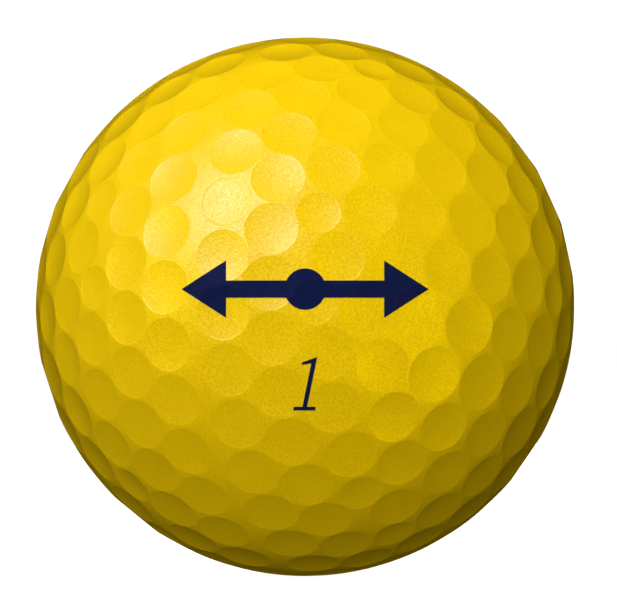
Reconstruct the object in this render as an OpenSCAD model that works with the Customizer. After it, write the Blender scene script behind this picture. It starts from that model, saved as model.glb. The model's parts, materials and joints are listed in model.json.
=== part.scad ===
// A three-layer golf ball: a rubber core, a mantle layer, a dimpled cover and its printed marks.
// The origin is the ball's centre, +Z is up and the printed face looks towards -Y.

/* [Layers] */
// Diameter of the ball over the bare land between its dimples
ball_d = 42.7; // [42.67:0.01:43]
// Diameter of the rubber core
core_d = 36.5; // [34:0.1:38]
// Thickness of the mantle layer round the core
mantle_t = 1.6; // [1:0.1:1.8]

/* [Dimples] */
// Diameter of the small dimples, measured across the edge
small_d = 3.4; // [3:0.05:3.4]
// Diameter of the medium dimples, measured across the edge
medium_d = 4.2; // [3.8:0.05:4.2]
// Diameter of the large dimples, measured across the edge
large_d = 4.55; // [4.2:0.05:4.6]
// Depth of a dimple below the plane of its edge
dimple_depth = 0.14; // [0.1:0.01:0.18]

/* [Print] */
// Width of the alignment mark from arrow tip to arrow tip
mark_w = 19; // [16:0.2:21]
// Height of the mark's arrowheads
mark_h = 4.4; // [3:0.1:5]
// Height of the play number
number_h = 4.1; // [3:0.1:5]
// Thickness of the printed ink
ink_t = 0.03; // [0.02:0.01:0.05]

/* [Hidden] */

yellow = [0.93, 0.76, 0.02];
navy = [0.07, 0.09, 0.29];

ball_r = ball_d / 2;
mantle_r = core_d / 2 + mantle_t;

// The dimple pattern has fivefold symmetry about the poles of the mould.
sectors = 5;
sector_angle = 360 / sectors;
// Colatitude, on the edge of a sector, of the rings that hold 1, 2, 3, 4 and 5 dimples a sector
ring_colatitudes = [11.2, 23.3, 34.8, 46.4, 56.8];
ring_count = len(ring_colatitudes);
// The last of those rings is pushed towards the equator at its corners.
corner_push = 2.3;
// Colatitude, azimuth and size in the belt below the rings, from a sector's edge to its middle
belt = [
    [63.8, 10.6, small_d],
    [62.3, 22.6, medium_d],
    [62.8, 36, medium_d]
];
// Two even rows close each half, up to the bare seam at the equator.
upper_row_colatitude = 73.3;
lower_row_colatitude = 83.4;
row_count = 30;
row_step = 360 / row_count;
// One half of the mould is turned against the other by half a step of the rows.
half_turn = -row_step / 2;

// How the mould's pole lies in the ball's frame: spun on its axis, tilted from +Z, turned about Z
pole_spin = -100.3;
pole_tilt = 87.5;
pole_turn = -24;

// The cutters reach this far past the dimple's edge and past the ball's surface.
edge_overlap = 0.02;
surface_overlap = 0.1;

mark_z = 1.35;
bar_h = mark_h * 0.3;
dot_d = mark_h * 0.72;
arrow_length = mark_h * 0.78;
number_z = -7.96;
foot_w = number_h * 0.41;
foot_t = number_h * 0.065;
stem_w = number_h * 0.086;
flag_reach = number_h * 0.22;
flag_t = number_h * 0.045;
slant = 11.5;
// The foot's left end and the stem's slanted top are the number's sides.
number_middle = (number_h * tan(slant) + stem_w / 2 - foot_w / 2) / 2;
// Dimples that lie further than this from the middle of a print can't touch it
print_reach = 40;
print_root = ball_r / 2;

// Directions are unit vectors from the ball's centre.
function polar(colatitude, azimuth) = [
    sin(colatitude) * cos(azimuth),
    sin(colatitude) * sin(azimuth),
    cos(colatitude)
];

// The direction that is the fraction t of the way along the great circle from a to b
function between(a, b, t) =
    let (arc = acos(a * b))
    (sin((1 - t) * arc) * a + sin(t * arc) * b) / sin(arc);

function about_y(v, angle) = [
    v.x * cos(angle) + v.z * sin(angle),
    v.y,
    v.z * cos(angle) - v.x * sin(angle)
];

function about_z(v, angle) = [
    v.x * cos(angle) - v.y * sin(angle),
    v.x * sin(angle) + v.y * cos(angle),
    v.z
];

// Ring n of a sector holds n dimples, spaced along the great circle between the sector's edges.
// The three in the middle of a sector, two in ring 3 and one in ring 4, are the large ones.
function ring_dimple(n, step, azimuth) =
    let (
        colatitude = ring_colatitudes[n - 1],
        start = polar(colatitude, azimuth),
        end = polar(colatitude, azimuth + sector_angle),
        corner = n == ring_count && step == 0,
        middle = (n == 3 && step > 0) || (n == 4 && step == 2)
    )
    [
        corner ? polar(colatitude + corner_push, azimuth) : between(start, end, step / n),
        middle ? large_d : medium_d
    ];

function belt_dimples(azimuth) = [
    for (b = belt) each [
        [polar(b[0], azimuth + b[1]), b[2]],
        if (b[1] < sector_angle / 2) [polar(b[0], azimuth + sector_angle - b[1]), b[2]]
    ]
];

function row_dimples(colatitude, first) = [
    for (i = [0:row_count - 1]) [polar(colatitude, first + i * row_step), medium_d]
];

// A dimple is its direction and its edge diameter.
half_dimples = [
    [polar(0, 0), small_d],
    for (s = [0:sectors - 1]) each [
        for (n = [1:ring_count], step = [0:n - 1]) ring_dimple(n, step, s * sector_angle),
        each belt_dimples(s * sector_angle)
    ],
    each row_dimples(upper_row_colatitude, row_step / 2),
    each row_dimples(lower_row_colatitude, 0)
];

function to_other_half(v) = about_z([v.x, v.y, -v.z], half_turn);

function to_ball_frame(v) = about_z(about_y(about_z(v, pole_spin), pole_tilt), pole_turn);

dimples = [
    for (d = half_dimples) each [
        [to_ball_frame(d[0]), d[1]],
        [to_ball_frame(to_other_half(d[0])), d[1]]
    ]
];

function bowl_radius(edge_d) =
    (edge_d ^ 2 / 4 + dimple_depth ^ 2) / (2 * dimple_depth);

function bowl_centre(edge_d) =
    sqrt(ball_r ^ 2 - edge_d ^ 2 / 4) + bowl_radius(edge_d) - dimple_depth;

module towards(direction) {
    rotate([0, acos(direction.z), atan2(direction.y, direction.x)])
        children();
}

// The lens that a dimple takes out of the ball. Lift moves its bowl out with the surface.
module dimple_cutter(edge_d, lift) {
    cut_r = edge_d / 2 + edge_overlap;
    rotate_extrude($fn = 48)
        intersection() {
            translate([0, bowl_centre(edge_d)])
                circle(bowl_radius(edge_d) - lift, $fn = 360);
            square([cut_r, ball_r + lift + surface_overlap]);
        }
}

// The dimpled ball, its whole surface lifted by lift, with the dimples in the list
module dimpled_ball(list, lift = 0) {
    difference() {
        sphere(ball_r + lift, $fn = 240);
        for (d = list)
            towards(d[0])
                dimple_cutter(d[1], lift);
    }
}

// Two arrowheads on a bar with a dot in its middle, centred on the origin
module mark_outline() {
    tip = mark_w / 2;
    neck = tip - arrow_length;
    right_half = [
        [neck, -bar_h / 2],
        [neck, -mark_h / 2],
        [tip, 0],
        [neck, mark_h / 2],
        [neck, bar_h / 2]
    ];
    left_half = [for (p = right_half) -p];
    circle(d = dot_d, $fn = 64);
    polygon(concat(right_half, left_half));
}

// A plain slanted figure one, standing on the origin
module number_outline() {
    points = [
        [-foot_w / 2, 0],
        [foot_w / 2, 0],
        [foot_w / 2, foot_t],
        [stem_w / 2, foot_t],
        [stem_w / 2, number_h],
        [-flag_reach, number_h * 0.9],
        [-flag_reach, number_h * 0.9 - flag_t],
        [-stem_w / 2, number_h * 0.88],
        [-stem_w / 2, foot_t],
        [-foot_w / 2, foot_t]
    ];
    polygon([for (p = points) [p.x + p.y * tan(slant), p.y]]);
}

// A film of ink with the outline of its children, laid over land and dimples alike.
// Facing 0 prints the face that looks towards -Y, and facing 180 the one behind it.
module ink(facing) {
    middle = about_z([0, -1, 0], facing);
    near = [for (d = dimples) if (d[0] * middle > cos(print_reach)) d];
    difference() {
        intersection() {
            dimpled_ball(near, ink_t);
            rotate([90, 0, facing])
                translate([0, 0, print_root])
                    linear_extrude(ball_r)
                        children();
        }
        dimpled_ball(near);
    }
}

module core() {
    color([0.72, 0.32, 0.2])
        sphere(core_d / 2, $fn = 180);
}

module mantle() {
    color([0.86, 0.86, 0.8])
        difference() {
            sphere(mantle_r, $fn = 180);
            sphere(core_d / 2, $fn = 180);
        }
}

module cover() {
    color(yellow)
        difference() {
            dimpled_ball(dimples);
            sphere(mantle_r, $fn = 180);
        }
}

module mark(facing) {
    color(navy)
        ink(facing)
            translate([0, mark_z])
                mark_outline();
}

module number(facing) {
    color(navy)
        ink(facing)
            translate([-number_middle, number_z])
                number_outline();
}

core();
mantle();
cover();
mark(0);  // front_mark
number(0);  // front_number
mark(180);  // rear_mark
number(180);  // rear_number
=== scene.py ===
"""The looks of the golf ball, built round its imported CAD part.

The cover is remade with rounded dimple rims and the prints as films that follow them. The core and the
mantle keep their CAD meshes and get new materials. The studio and the camera complete the scene.
"""

import json
import math

import bmesh
import bpy
import numpy as np
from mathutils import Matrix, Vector
from mathutils.geometry import delaunay_2d_cdt

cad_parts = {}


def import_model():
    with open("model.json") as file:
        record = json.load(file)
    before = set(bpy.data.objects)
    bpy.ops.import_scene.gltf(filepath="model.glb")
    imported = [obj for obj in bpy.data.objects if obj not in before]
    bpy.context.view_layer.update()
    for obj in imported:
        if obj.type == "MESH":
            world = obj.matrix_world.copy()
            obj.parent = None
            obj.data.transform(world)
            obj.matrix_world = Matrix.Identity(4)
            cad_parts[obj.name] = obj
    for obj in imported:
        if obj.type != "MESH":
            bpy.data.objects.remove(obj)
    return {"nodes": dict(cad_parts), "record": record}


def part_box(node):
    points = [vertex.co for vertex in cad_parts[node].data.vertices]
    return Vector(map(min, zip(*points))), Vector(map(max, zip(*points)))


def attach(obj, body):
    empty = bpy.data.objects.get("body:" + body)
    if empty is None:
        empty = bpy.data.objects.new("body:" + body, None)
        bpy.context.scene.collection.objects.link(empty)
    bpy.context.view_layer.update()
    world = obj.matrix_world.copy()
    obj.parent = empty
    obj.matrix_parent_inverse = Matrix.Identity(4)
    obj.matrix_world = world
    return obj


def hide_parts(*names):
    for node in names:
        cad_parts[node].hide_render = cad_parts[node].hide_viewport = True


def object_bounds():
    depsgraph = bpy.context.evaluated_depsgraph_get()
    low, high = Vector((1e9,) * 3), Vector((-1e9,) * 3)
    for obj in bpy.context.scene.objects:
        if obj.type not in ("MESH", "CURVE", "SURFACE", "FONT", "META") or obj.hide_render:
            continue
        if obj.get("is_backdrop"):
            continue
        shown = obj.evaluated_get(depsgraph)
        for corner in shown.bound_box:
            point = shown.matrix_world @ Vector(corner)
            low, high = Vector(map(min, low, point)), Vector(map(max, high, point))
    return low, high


MM = 0.001

# The dimple layout is the one in the CAD part: rings, a belt and two even rows in each half. Its angles
# are in degrees, and a dimple in the belt is its colatitude, its offset from a sector's edge and its size.
SECTORS = 5
SECTOR_ANGLE = 360 / SECTORS
SMALL_D = 3.4 * MM
MEDIUM_D = 4.2 * MM
LARGE_D = 4.55 * MM
DIMPLE_DEPTH = 0.14 * MM
RING_COLATITUDES = (11.2, 23.3, 34.8, 46.4, 56.8)
CORNER_PUSH = 2.3
BELT = ((63.8, 10.6, SMALL_D), (62.3, 22.6, MEDIUM_D), (62.8, 36, MEDIUM_D))
UPPER_ROW_COLATITUDE = 73.3
LOWER_ROW_COLATITUDE = 83.4
ROW_COUNT = 30
ROW_STEP = 360 / ROW_COUNT
HALF_TURN = -ROW_STEP / 2
POLE_SPIN = -100.3
POLE_TILT = 87.5
POLE_TURN = -24.0

# A dimple's wall steepens at its rim, which is rounded into the land.
LIP_STEP = 0.012 * MM
RIM_INSIDE = 0.14 * MM
RIM_OUTSIDE = 0.03 * MM

# The cover's mesh: rings of vertices on the rim, rings on the bowl as shares of its width, and spokes
RIM_RINGS = 4
BOWL_RINGS = (0.4, 0.75)
SPOKES = 36
PROFILE_STEPS = 80
INSIDE_SUBDIVISIONS = 5
SAME_POINT = 1e-9

# The prints are the CAD part's: a double arrow with a dot, and a slanted figure one.
MARK_W = 19 * MM
MARK_H = 4.4 * MM
MARK_Z = 1.35 * MM
BAR_H = MARK_H * 0.3
DOT_D = MARK_H * 0.72
ARROW_LENGTH = MARK_H * 0.78
NUMBER_H = 4.1 * MM
NUMBER_Z = -7.96 * MM
FOOT_W = NUMBER_H * 0.41
FOOT_T = NUMBER_H * 0.065
STEM_W = NUMBER_H * 0.086
FLAG_REACH = NUMBER_H * 0.22
FLAG_T = NUMBER_H * 0.045
FLAG_TOP = NUMBER_H * 0.9
FLAG_ROOT = NUMBER_H * 0.88
SLANT = math.tan(math.radians(11.5))

# The ink's film runs from just under the surface to its own thickness above it. It's cut into a grid
# of squares that is fine enough for the film to follow the dimples.
INK_SINK = 0.01 * MM
INK_LIFT = 0.03 * MM
INK_GRID = 0.12 * MM
INK_MERGE = 0.01 * MM
DOT_STEPS = 40
LAYING_ROUNDS = 5
SHARP_ANGLE = math.radians(60)
SORTING_AXIS = Vector((1, 0.37, 0.61))

# The picture is 617 by 607 pixels, and the ball's outline in it has this centre and radius.
PICTURE_W = 617
PICTURE_H = 607
OUTLINE_X = 305.1
OUTLINE_Y = 306.7
OUTLINE_R = 269.35
CAMERA_DISTANCE_IN_RADII = 30
SENSOR_W = 36.0
CLIP_START = 0.01
CLIP_END = 10

# The studio, in metres. The floor's glow rises to pure white between two distances from the origin.
LIGHT_DISTANCE = 0.6
FILL_SIZE = 0.6
CARD_SIZE = 0.3
WHITE = (1, 1, 1)
GOLD = (1.0, 0.66, 0.001)
FLOOR_SIDE = 8.0
FLOOR_GLOW = 0.9
FLOOR_GLOW_START = 0.03
FLOOR_GLOW_END = 0.15

# The backdrop is brighter than white, so that it is pure white in the picture. Matt surfaces get only
# this share of it.
BACKDROP = (1.15, 1.15, 1.15, 1)
MATT_SHARE = 0.01

# The paint
YELLOW = (0.93, 0.61, 0.0008, 1)
DEEP_YELLOW = (0.88, 0.575, 0.0005, 1)
TRANSLUCENCY = 0.36
# Its grain, partly real grain and partly painted speckle of the front light's sheen, fades as the surface
# turns away, until its end share. From the rim shade's start on, the paint darkens towards the outline:
# painted shade.
# Both are shares, where 0 faces the camera and 1 is edge-on.
# The grain's colour: real grain, with painted speckle of the front light's sheen where the surface faces
# the camera
GRAIN_AND_SHEEN_YELLOW = (0.60, 0.38, 0.0002, 1)
GRAIN_SIZE = 0.15 * MM
GRAIN_BUMP = 0.015 * MM
GRAIN_AND_SHEEN_SHARE = 0.5
GRAIN_AND_SHEEN_SHARE_AT_END = 0.05
GRAIN_AND_SHEEN_END = 0.45
# Painted shade: the colour the paint darkens to at the outline
RIM_SHADE_YELLOW = (0.43, 0.275, 0.0002, 1)
RIM_SHADE_START = 0.6

# The other colours, each with the shade that clouds it
NAVY = (0.0052, 0.0105, 0.058, 1)
DEEP_NAVY = (0.0042, 0.0085, 0.048, 1)
RUBBER = (0.48, 0.085, 0.033, 1)
DEEP_RUBBER = (0.40, 0.065, 0.027, 1)
FILLER = (0.75, 0.35, 0.22, 1)
IONOMER = (0.72, 0.72, 0.61, 1)
DEEP_IONOMER = (0.66, 0.67, 0.58, 1)
BOARD = (0.93, 0.93, 0.93, 1)
DEEP_BOARD = (0.90, 0.90, 0.90, 1)


def polar(colatitude, azimuth):
    """A direction, as a unit vector from the ball's centre."""
    c, a = math.radians(colatitude), math.radians(azimuth)
    return np.array([math.sin(c) * math.cos(a), math.sin(c) * math.sin(a), math.cos(c)])


def between(a, b, t):
    """The direction that is the fraction t of the way along the great circle from a to b."""
    arc = math.acos(np.dot(a, b))
    return (math.sin((1 - t) * arc) * a + math.sin(t * arc) * b) / math.sin(arc)


def about_y(v, angle):
    c, s = math.cos(math.radians(angle)), math.sin(math.radians(angle))
    return np.array([v[0] * c + v[2] * s, v[1], v[2] * c - v[0] * s])


def about_z(v, angle):
    c, s = math.cos(math.radians(angle)), math.sin(math.radians(angle))
    return np.array([v[0] * c - v[1] * s, v[0] * s + v[1] * c, v[2]])


def ring_dimples(n, azimuth):
    """Ring n of a sector: n dimples along the great circle between the sector's edges."""
    colatitude = RING_COLATITUDES[n - 1]
    start = polar(colatitude, azimuth)
    end = polar(colatitude, azimuth + SECTOR_ANGLE)
    for step in range(n):
        corner = n == len(RING_COLATITUDES) and step == 0
        middle = (n == 3 and step > 0) or (n == 4 and step == 2)
        place = between(start, end, step / n)
        if corner:
            place = polar(colatitude + CORNER_PUSH, azimuth)
        yield place, LARGE_D if middle else MEDIUM_D


def belt_dimples(azimuth):
    for colatitude, offset, diameter in BELT:
        yield polar(colatitude, azimuth + offset), diameter
        if offset < SECTOR_ANGLE / 2:
            yield polar(colatitude, azimuth + SECTOR_ANGLE - offset), diameter


def row_dimples(colatitude, first):
    for i in range(ROW_COUNT):
        yield polar(colatitude, first + i * ROW_STEP), MEDIUM_D


def half_dimples():
    """The dimples of one half of the mould, each a direction and an edge diameter."""
    yield polar(0, 0), SMALL_D
    for sector in range(SECTORS):
        azimuth = sector * SECTOR_ANGLE
        for n in range(1, len(RING_COLATITUDES) + 1):
            yield from ring_dimples(n, azimuth)
        yield from belt_dimples(azimuth)
    yield from row_dimples(UPPER_ROW_COLATITUDE, ROW_STEP / 2)
    yield from row_dimples(LOWER_ROW_COLATITUDE, 0)


def to_other_half(v):
    return about_z(np.array([v[0], v[1], -v[2]]), HALF_TURN)


def to_ball_frame(v):
    return about_z(about_y(about_z(v, POLE_SPIN), POLE_TILT), POLE_TURN)


def all_dimples():
    for place, diameter in half_dimples():
        yield to_ball_frame(place), diameter
        yield to_ball_frame(to_other_half(place)), diameter


class Profile:
    """A dimple's section from its centre to the land: a bowl and the rounded rim outside it."""

    def __init__(self, diameter, ball_r):
        edge = diameter / 2
        depth = DIMPLE_DEPTH - LIP_STEP
        self.ball_r = ball_r
        self.bowl_r = (edge**2 + depth**2) / (2 * depth)
        self.bowl_centre = math.sqrt(ball_r**2 - edge**2) + self.bowl_r - DIMPLE_DEPTH
        self.inside = edge - RIM_INSIDE
        self.outside = edge + RIM_OUTSIDE

    def at(self, rho):
        """Height along the dimple's axis, and slope, at the distance rho from that axis."""
        if rho <= self.inside:
            fall = math.sqrt(self.bowl_r**2 - rho**2)
            return self.bowl_centre - fall, rho / fall
        return self.on_rim(rho)

    def on_rim(self, rho):
        """The rim is a cubic that leaves the bowl and meets the land at their own slopes."""
        width = self.outside - self.inside
        h0, s0 = self.at(self.inside)
        h1 = math.sqrt(self.ball_r**2 - self.outside**2)
        s1 = -self.outside / h1
        t = (rho - self.inside) / width
        height = (
            (2 * t**3 - 3 * t**2 + 1) * h0
            + (t**3 - 2 * t**2 + t) * width * s0
            + (3 * t**2 - 2 * t**3) * h1
            + (t**3 - t**2) * width * s1
        )
        slope = (
            (6 * t**2 - 6 * t) * (h0 - h1) / width
            + (3 * t**2 - 4 * t + 1) * s0
            + (3 * t**2 - 2 * t) * s1
        )
        return height, slope

    def ring_distances(self):
        yield from (f * self.inside for f in BOWL_RINGS)
        for i in range(RIM_RINGS + 1):
            yield self.inside + (self.outside - self.inside) * i / RIM_RINGS

    def radius_table(self):
        """Angles from the dimple's axis, and the distances of the surface from the ball's centre."""
        rho = np.linspace(0, self.outside, PROFILE_STEPS)
        height = np.array([self.at(r)[0] for r in rho])
        return np.arctan2(rho, height), np.hypot(rho, height)


class Ball:
    """The dimpled surface of the ball."""

    def __init__(self, ball_r):
        self.ball_r = ball_r
        self.dimples = list(all_dimples())
        self.centres = np.array([place for place, _ in self.dimples])
        self.diameters = np.array([diameter for _, diameter in self.dimples])
        self.profiles = {d: Profile(d, ball_r) for d in (SMALL_D, MEDIUM_D, LARGE_D)}
        self.tables = {d: p.radius_table() for d, p in self.profiles.items()}

    def radius(self, directions):
        """The surface's distance from the ball's centre in each of these directions."""
        cosines = directions @ self.centres.T
        diameters = self.diameters[cosines.argmax(axis=1)]
        angles = np.arccos(np.clip(cosines.max(axis=1), -1, 1))
        result = np.full(len(directions), self.ball_r)
        for diameter, (table_angles, table_radii) in self.tables.items():
            mine = diameters == diameter
            result[mine] = np.interp(angles[mine], table_angles, table_radii, right=self.ball_r)
        return result


def perpendiculars(axis):
    """Two unit vectors square to axis and to each other."""
    nearly_x = abs(axis[0]) >= 0.7
    helper = np.array([0, 1.0, 0]) if nearly_x else np.array([1.0, 0, 0])
    right = np.cross(helper, axis)
    right /= np.linalg.norm(right)
    return right, np.cross(axis, right)


class CoverMesh:
    """Vertices, normals and faces of the cover, dimple by dimple and then the land between them."""

    def __init__(self, ball):
        self.ball = ball
        self.points = []
        self.normals = []
        self.faces = []
        self.rims = [self.add_dimple(place, ball.profiles[d]) for place, d in ball.dimples]
        self.add_land()

    def add_dimple(self, axis, profile):
        """Adds one dimple and returns the indices of its outermost ring."""
        right, up = perpendiculars(axis)
        turns = np.linspace(0, 2 * math.pi, SPOKES, endpoint=False)
        spokes = np.cos(turns)[:, None] * right + np.sin(turns)[:, None] * up
        previous = None
        centre = len(self.points)
        self.points.append(axis * profile.at(0)[0])
        self.normals.append(axis)
        for rho in profile.ring_distances():
            height, slope = profile.at(rho)
            ring = range(len(self.points), len(self.points) + SPOKES)
            self.points.extend(axis * height + spokes * rho)
            self.normals.extend((axis - spokes * slope) / math.hypot(1, slope))
            for i in range(SPOKES):
                j = (i + 1) % SPOKES
                if previous is None:
                    self.faces.append((centre, ring[i], ring[j]))
                else:
                    self.faces.append((previous[i], ring[i], ring[j], previous[j]))
            previous = ring
        return list(previous)

    def flatten(self, index):
        """A vertex laid on a plane, in stereographic projection from the middle of the first dimple."""
        pole = self.ball.centres[0]
        right, up = perpendiculars(pole)
        direction = self.points[index] / np.linalg.norm(self.points[index])
        spread = 1 - np.dot(direction, pole)
        return Vector((np.dot(direction, right) / spread, np.dot(direction, up) / spread))

    def add_land(self):
        """Fills the land between the rims by a Delaunay triangulation of the flattened rims."""
        indices = [index for rim in self.rims for index in rim]
        flat = [self.flatten(index) for index in indices]
        edges = []
        for first in range(0, len(indices), SPOKES):
            edges.extend((first + k, first + (k + 1) % SPOKES) for k in range(SPOKES))
        _, _, triangles, sources, _, _ = delaunay_2d_cdt(flat, edges, [], 0, SAME_POINT)
        for triangle in triangles:
            corners = [sources[v][0] for v in triangle]
            inside_a_dimple = len({corner // SPOKES for corner in corners}) == 1
            if not inside_a_dimple:
                self.add_outward([indices[corner] for corner in corners])

    def add_outward(self, face):
        """Adds a triangle, turned if need be so that it faces away from the centre."""
        a, b, c = (self.points[index] for index in face)
        outward = np.dot(np.cross(b - a, c - a), a) > 0
        self.faces.append(face if outward else face[::-1])

    def add_inside(self, radius):
        """Adds the smooth inside, facing the centre, so that the cover is a closed shell."""
        bm = bmesh.new()
        bmesh.ops.create_icosphere(bm, subdivisions=INSIDE_SUBDIVISIONS, radius=radius)
        first = len(self.points)
        for v in bm.verts:
            self.points.append(np.array(v.co))
            self.normals.append(-np.array(v.co) / radius)
        for face in bm.faces:
            self.faces.append([first + v.index for v in reversed(face.verts)])
        bm.free()


def add_object(name, data):
    obj = bpy.data.objects.new(name, data)
    bpy.context.scene.collection.objects.link(obj)
    return obj


def mesh_object(name, points, faces, normals=None):
    mesh = bpy.data.meshes.new(name)
    mesh.from_pydata([tuple(p) for p in points], [], [tuple(f) for f in faces])
    mesh.shade_smooth()
    if normals is not None:
        mesh.normals_split_custom_set_from_vertices([tuple(n) for n in normals])
    return add_object(name, mesh)


def build_cover(ball, inner_r):
    mesh = CoverMesh(ball)
    mesh.add_inside(inner_r)
    return mesh_object("dimpled_cover", mesh.points, mesh.faces, mesh.normals)


def mark_outline():
    """Two arrowheads on a bar with a dot in its middle, as points (x, z) seen from the front."""
    tip = MARK_W / 2
    neck = tip - ARROW_LENGTH
    start = math.asin(BAR_H / DOT_D)
    arc = [
        (DOT_D / 2 * math.cos(a), DOT_D / 2 * math.sin(a))
        for a in np.linspace(start, math.pi - start, DOT_STEPS)
    ]
    right = [
        (neck, -BAR_H / 2),
        (neck, -MARK_H / 2),
        (tip, 0),
        (neck, MARK_H / 2),
        (neck, BAR_H / 2),
    ]
    half = right + arc
    return [(x, z + MARK_Z) for x, z in half + [(-x, -z) for x, z in half]]


def number_outline():
    """A plain slanted figure one, as points (x, z) seen from the front."""
    upright = [
        (-FOOT_W / 2, 0),
        (FOOT_W / 2, 0),
        (FOOT_W / 2, FOOT_T),
        (STEM_W / 2, FOOT_T),
        (STEM_W / 2, NUMBER_H),
        (-FLAG_REACH, FLAG_TOP),
        (-FLAG_REACH, FLAG_TOP - FLAG_T),
        (-STEM_W / 2, FLAG_ROOT),
        (-STEM_W / 2, FOOT_T),
        (-FOOT_W / 2, FOOT_T),
    ]
    slanted = [(x + z * SLANT, z + NUMBER_Z) for x, z in upright]
    middle = (min(x for x, _ in slanted) + max(x for x, _ in slanted)) / 2
    return [(x - middle, z) for x, z in slanted]


def lay_on_ball(ball, flat, lifts, side):
    """Points (x, z) laid straight onto the ball's front (side -1) or back (side 1), then lifted.

    Each round takes the surface's distance at the place that the round before arrived at.
    """
    x, z = -side * flat[:, 0], flat[:, 1]
    reach = np.full(len(flat), ball.ball_r)
    for _ in range(LAYING_ROUNDS):
        y = side * np.sqrt(reach**2 - x**2 - z**2)
        directions = np.stack([x, y, z], axis=1) / reach[:, None]
        reach = ball.radius(directions)
    return directions * (reach + lifts)[:, None]


def cut_into_grid(bm, normal):
    """Cuts the faces along planes square to normal, one grid step apart."""
    reaches = [v.co.dot(normal) for v in bm.verts]
    low, high = min(reaches), max(reaches)
    for i in range(1, int((high - low) / INK_GRID) + 1):
        geometry = bm.verts[:] + bm.edges[:] + bm.faces[:]
        place = normal * (low + i * INK_GRID)
        bmesh.ops.bisect_plane(bm, geom=geometry, plane_co=place, plane_no=normal)


def build_print(name, ball, outline, side):
    """A closed film of ink with this outline, which follows the land and the dimples."""
    bm = bmesh.new()
    bm.faces.new([bm.verts.new((x, 0, z)) for x, z in outline])
    for normal in (Vector((1, 0, 0)), Vector((0, 0, 1))):
        cut_into_grid(bm, normal)
    bmesh.ops.remove_doubles(bm, verts=bm.verts[:], dist=INK_MERGE)
    bmesh.ops.triangulate(bm, faces=bm.faces[:])
    under = set(bm.verts)
    bmesh.ops.extrude_face_region(bm, geom=bm.faces[:], use_keep_orig=True)
    flat = np.array([(v.co.x, v.co.z) for v in bm.verts])
    lifts = np.array([-INK_SINK if v in under else INK_LIFT for v in bm.verts])
    for v, place in zip(bm.verts, lay_on_ball(ball, flat, lifts, side)):
        v.co = place
    bmesh.ops.recalc_face_normals(bm, faces=bm.faces[:])
    if bm.calc_volume(signed=True) < 0:
        bmesh.ops.reverse_faces(bm, faces=bm.faces[:])
    # Extruding orders the faces differently in each run. Along this axis no two of them are level.
    bm.faces.sort(key=lambda face: face.calc_center_median().dot(SORTING_AXIS))
    mesh = bpy.data.meshes.new(name)
    bm.to_mesh(mesh)
    bm.free()
    mesh.shade_smooth()
    mesh.set_sharp_from_angle(angle=SHARP_ANGLE)
    return add_object(name, mesh)


class Nodes:
    """A material's node tree, with short calls for the nodes used here."""

    def __init__(self, name):
        self.material = bpy.data.materials.new(name)
        self.material.use_nodes = True
        self.tree = self.material.node_tree
        self.tree.nodes.clear()
        self.output = self.tree.nodes.new("ShaderNodeOutputMaterial")
        self.place = self.add("ShaderNodeTexCoord").outputs["Object"]

    def add(self, kind, **inputs):
        """Adds a node. An input is a value or another node's output, and _ in its name is a space."""
        node = self.tree.nodes.new(kind)
        for name, value in inputs.items():
            self.put(node.inputs[name.replace("_", " ")], value)
        return node

    def put(self, socket, value):
        if isinstance(value, bpy.types.NodeSocket):
            self.tree.links.new(value, socket)
        else:
            socket.default_value = value

    def noise(self, size, detail, roughness=0.5):
        """Noise between 0 and 1 whose features are about size across."""
        node = self.add(
            "ShaderNodeTexNoise",
            Vector=self.place,
            Scale=1 / size,
            Detail=detail,
            Roughness=roughness,
        )
        return node.outputs["Fac"]

    def spread(self, value, low, high, start=0.3, end=0.7):
        """Maps value from start..end to low..high."""
        node = self.add(
            "ShaderNodeMapRange",
            Value=value,
            From_Min=start,
            From_Max=end,
            To_Min=low,
            To_Max=high,
        )
        return node.outputs["Result"]

    def blend(self, factor, a, b):
        """A colour from a to b."""
        node = self.tree.nodes.new("ShaderNodeMix")
        node.data_type = "RGBA"
        for socket, value in zip((node.inputs[0], node.inputs[6], node.inputs[7]), (factor, a, b)):
            self.put(socket, value)
        return node.outputs[2]

    def vector_math(self, operation, a, b=None, scale=None):
        node = self.tree.nodes.new("ShaderNodeVectorMath")
        node.operation = operation
        self.put(node.inputs[0], a)
        if b is not None:
            self.put(node.inputs[1], b)
        if scale is not None:
            self.put(node.inputs["Scale"], scale)
        return node.outputs[0]

    def bump(self, height, distance, normal=None):
        node = self.add("ShaderNodeBump", Height=height, Distance=distance, Strength=1.0)
        if normal is not None:
            self.put(node.inputs["Normal"], normal)
        return node.outputs["Normal"]

    def finish(self, **inputs):
        """Ends the material in a Principled shader with these inputs."""
        shader = self.add("ShaderNodeBsdfPrincipled", **inputs)
        self.tree.links.new(shader.outputs[0], self.output.inputs["Surface"])
        return self.material


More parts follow.
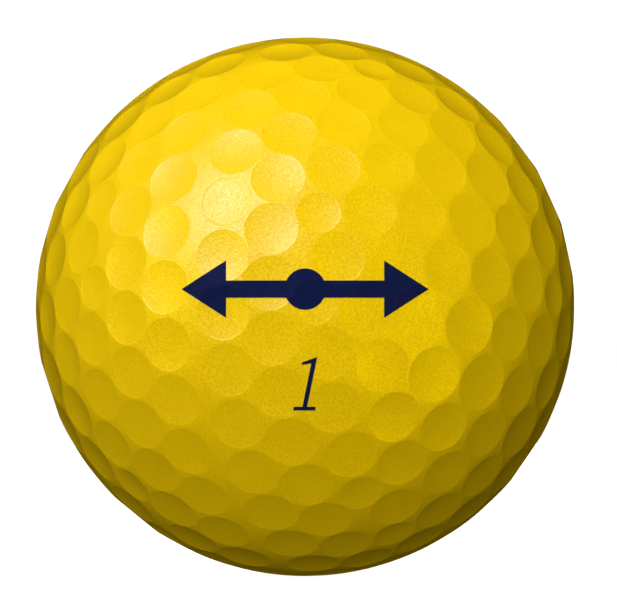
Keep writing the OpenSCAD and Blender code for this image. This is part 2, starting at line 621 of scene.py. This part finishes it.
def cover_paint():
    """Satin yellow: a translucent body that softens the dimples, under a grained clear coat."""
    n = Nodes("cover_paint")
    mottle = n.noise(2.5 * MM, detail=3)
    grain = n.noise(GRAIN_SIZE, detail=0)
    edge_on = n.add("ShaderNodeLayerWeight", Blend=0.5).outputs["Facing"]
    even = n.blend(n.spread(mottle, 0, 1), YELLOW, DEEP_YELLOW)
    # Real grain plus painted sheen speckle: strongest where the surface faces the camera, fading towards
    # the outline
    grain_and_sheen_share = n.spread(edge_on, GRAIN_AND_SHEEN_SHARE, GRAIN_AND_SHEEN_SHARE_AT_END, 0, GRAIN_AND_SHEEN_END)
    grain_and_sheen_colour = n.blend(n.spread(grain, grain_and_sheen_share, 0), even, GRAIN_AND_SHEEN_YELLOW)
    # Painted shade: the paint darkens as the surface turns edge-on towards the outline
    colour = n.blend(n.spread(edge_on, 0, 1, RIM_SHADE_START, 1), grain_and_sheen_colour, RIM_SHADE_YELLOW)
    geometry = n.add("ShaderNodeNewGeometry")
    radial = n.vector_math("NORMALIZE", n.place)
    soft = n.vector_math(
        "ADD",
        n.vector_math("SCALE", radial, scale=TRANSLUCENCY),
        n.vector_math("SCALE", geometry.outputs["Normal"], scale=1 - TRANSLUCENCY),
    )
    soft_normal = n.vector_math("NORMALIZE", soft)
    return n.finish(
        Base_Color=colour,
        Roughness=0.6,
        Specular_IOR_Level=0.0,
        Normal=n.bump(grain, GRAIN_BUMP, normal=soft_normal),
        Coat_Weight=n.spread(grain, 0.5, 1.0),
        Coat_Roughness=n.spread(n.noise(0.8 * MM, detail=2), 0.36, 0.42),
        Coat_Normal=n.bump(grain, GRAIN_BUMP),
    )


def navy_ink():
    """Flat pad-printed navy that mirrors almost nothing, as in the photo."""
    n = Nodes("navy_ink")
    cloud = n.noise(0.6 * MM, detail=3)
    grain = n.noise(GRAIN_SIZE, detail=1)
    return n.finish(
        Base_Color=n.blend(n.spread(cloud, 0, 1), NAVY, DEEP_NAVY),
        Roughness=n.spread(cloud, 0.55, 0.65),
        Specular_IOR_Level=0.02,
        Normal=n.bump(grain, 0.01 * MM),
    )


def core_rubber():
    """Matt moulded rubber with a fine speckle of filler."""
    n = Nodes("core_rubber")
    speckle = n.noise(0.35 * MM, detail=4, roughness=0.7)
    cloud = n.noise(6 * MM, detail=2)
    base = n.blend(n.spread(cloud, 0, 1), RUBBER, DEEP_RUBBER)
    return n.finish(
        Base_Color=n.blend(n.spread(speckle, 0, 0.5, 0.55, 0.75), base, FILLER),
        Roughness=n.spread(speckle, 0.7, 0.85),
        Normal=n.bump(speckle, 0.03 * MM),
    )


def mantle_ionomer():
    """Cloudy off-white ionomer with a satin skin."""
    n = Nodes("mantle_ionomer")
    cloud = n.noise(4 * MM, detail=3)
    grain = n.noise(0.2 * MM, detail=2)
    return n.finish(
        Base_Color=n.blend(n.spread(cloud, 0, 1), IONOMER, DEEP_IONOMER),
        Roughness=n.spread(grain, 0.38, 0.5),
        Subsurface_Weight=0.3,
        Subsurface_Scale=0.5 * MM,
        Normal=n.bump(grain, 0.01 * MM),
    )


def floor_white():
    """Pale board with a slight tooth, which glows to pure white away from the ball."""
    n = Nodes("floor_white")
    tooth = n.noise(0.5 * MM, detail=2)
    length = n.add("ShaderNodeVectorMath", Vector=n.place)
    length.operation = "LENGTH"
    distance = length.outputs["Value"]
    return n.finish(
        Base_Color=n.blend(n.spread(tooth, 0, 1), BOARD, DEEP_BOARD),
        Roughness=0.9,
        Specular_IOR_Level=0.0,
        Emission_Color=(1, 1, 1, 1),
        Emission_Strength=n.spread(distance, FLOOR_GLOW, 1.0, FLOOR_GLOW_START, FLOOR_GLOW_END),
        Normal=n.bump(tooth, 0.02 * MM),
    )


def softbox(name, direction, brightness, size, colour, coat_only):
    """A square softbox in this direction. A white surface that faces it gets this brightness."""
    place = Vector(direction).normalized() * LIGHT_DISTANCE
    data = bpy.data.lights.new(name, "AREA")
    data.shape = "SQUARE"
    data.size = size
    data.color = colour
    data.energy = brightness * (math.pi * LIGHT_DISTANCE) ** 2
    # A ray that found the lamp by chance would light coat and body colour alike, so none may.
    data.cycles.use_multiple_importance_sampling = False
    light = add_object(name, data)
    light.location = place
    light.rotation_euler = (-place).to_track_quat("-Z", "Y").to_euler()
    light.visible_camera = False
    light.visible_glossy = coat_only
    light.visible_diffuse = not coat_only


def fill(name, direction, brightness, size=FILL_SIZE):
    """A white light that only the body colour sees."""
    softbox(name, direction, brightness, size, WHITE, coat_only=False)


def card(name, direction, brightness, colour=GOLD):
    """A light that only the clear coat mirrors."""
    softbox(name, direction, brightness, CARD_SIZE, colour, coat_only=True)


def build_world():
    """White to the camera, a weak even light to matt surfaces and dark to the clear coat."""
    world = bpy.data.worlds.new("studio")
    bpy.context.scene.world = world
    world.use_nodes = True
    nodes, links = world.node_tree.nodes, world.node_tree.links
    background = nodes["Background"]
    path = nodes.new("ShaderNodeLightPath")
    scale = nodes.new("ShaderNodeMapRange")
    scale.inputs["To Min"].default_value = MATT_SHARE
    scale.inputs["To Max"].default_value = 1.0
    links.new(path.outputs["Is Camera Ray"], scale.inputs["Value"])
    dim = nodes.new("ShaderNodeMath")
    dim.operation = "SUBTRACT"
    dim.use_clamp = True
    links.new(scale.outputs["Result"], dim.inputs[0])
    links.new(path.outputs["Is Glossy Ray"], dim.inputs[1])
    links.new(dim.outputs[0], background.inputs["Strength"])
    background.inputs["Color"].default_value = BACKDROP


def build_floor(z):
    """A wide floor that runs into the white behind it and has no part in lighting the ball."""
    half = FLOOR_SIDE / 2
    floor = mesh_object(
        "floor",
        [(-half, -half, z), (half, -half, z), (half, half, z), (-half, half, z)],
        [(0, 1, 2, 3)],
    )
    floor.data.materials.append(floor_white())
    floor.visible_glossy = False
    floor.visible_diffuse = False
    floor.visible_shadow = False
    floor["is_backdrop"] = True


def build_camera(ball_r):
    """A long lens in front of the ball, with the ball's outline where the picture has it."""
    distance = CAMERA_DISTANCE_IN_RADII * ball_r
    focal_px = OUTLINE_R * math.sqrt(CAMERA_DISTANCE_IN_RADII**2 - 1)
    data = bpy.data.cameras.new("camera")
    data.sensor_width = SENSOR_W
    data.lens = focal_px * SENSOR_W / PICTURE_W
    data.shift_x = (PICTURE_W / 2 - OUTLINE_X) / PICTURE_W
    data.shift_y = (OUTLINE_Y - PICTURE_H / 2) / PICTURE_W
    data.clip_start = CLIP_START
    data.clip_end = CLIP_END
    camera = add_object("camera", data)
    camera.location = (0, -distance, 0)
    camera.rotation_euler = (math.pi / 2, 0, 0)
    bpy.context.scene.camera = camera


def build_lights():
    """The clear coat mirrors a softbox and gold cards. Broad fills light the body colour."""
    card("key", (-0.495, -0.589, 0.639), 1.25, colour=WHITE)
    card("left_card", (-0.85, -0.487, 0.2), 1.0)
    card("right_card", (0.8, -0.6, 0.0), 0.5)
    card("low_card", (0.7, -0.592, -0.4), 0.84)
    fill("high", (-0.4, -0.35, 0.85), 0.16, size=CARD_SIZE)
    fill("front_high", (0.0, -0.87, 0.5), 0.85)
    fill("front_low", (0.0, -0.87, -0.5), 0.205)
    fill("front_left", (-0.6, -0.8, 0.0), 0.28)
    fill("top", (0.0, -0.1, 1.0), 0.43)
    fill("left_back", (-0.8, 0.5, 0.3), 0.38)
    fill("right_back", (0.3, 0.95, -0.1), 0.6)


def mount_piece(piece, node, material):
    """Gives the piece its material and puts it in the place of the CAD node on the one body."""
    piece.data.materials.append(material)
    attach(piece, "root")
    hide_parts(node)


def build_prints(ball):
    ink = navy_ink()
    for facing, side in (("front", -1), ("rear", 1)):
        for kind, outline in (("mark", mark_outline()), ("number", number_outline())):
            node = f"{facing}_{kind}"
            film = build_print(f"{node}_ink", ball, outline, side)
            mount_piece(film, node, ink)


def main():
    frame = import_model()
    cad_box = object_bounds()
    seat = next(m for m in frame["record"]["mounts"] if m["name"] == "tee_seat")
    ball = Ball(-seat["pos_m"][2])
    mantle_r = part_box("mantle")[1].z

    cover = build_cover(ball, mantle_r)
    mount_piece(cover, "cover", cover_paint())
    build_prints(ball)
    for node, material in (("core", core_rubber()), ("mantle", mantle_ionomer())):
        materials = frame["nodes"][node].data.materials
        materials.clear()
        materials.append(material)

    bpy.context.scene.view_settings.view_transform = "Standard"
    build_world()
    build_floor(-ball.ball_r)
    build_lights()
    build_camera(ball.ball_r)

    boxes = {"cad": cad_box, "visual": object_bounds()}
    {name: [list(corner) for corner in box] for name, box in boxes.items()}


main()
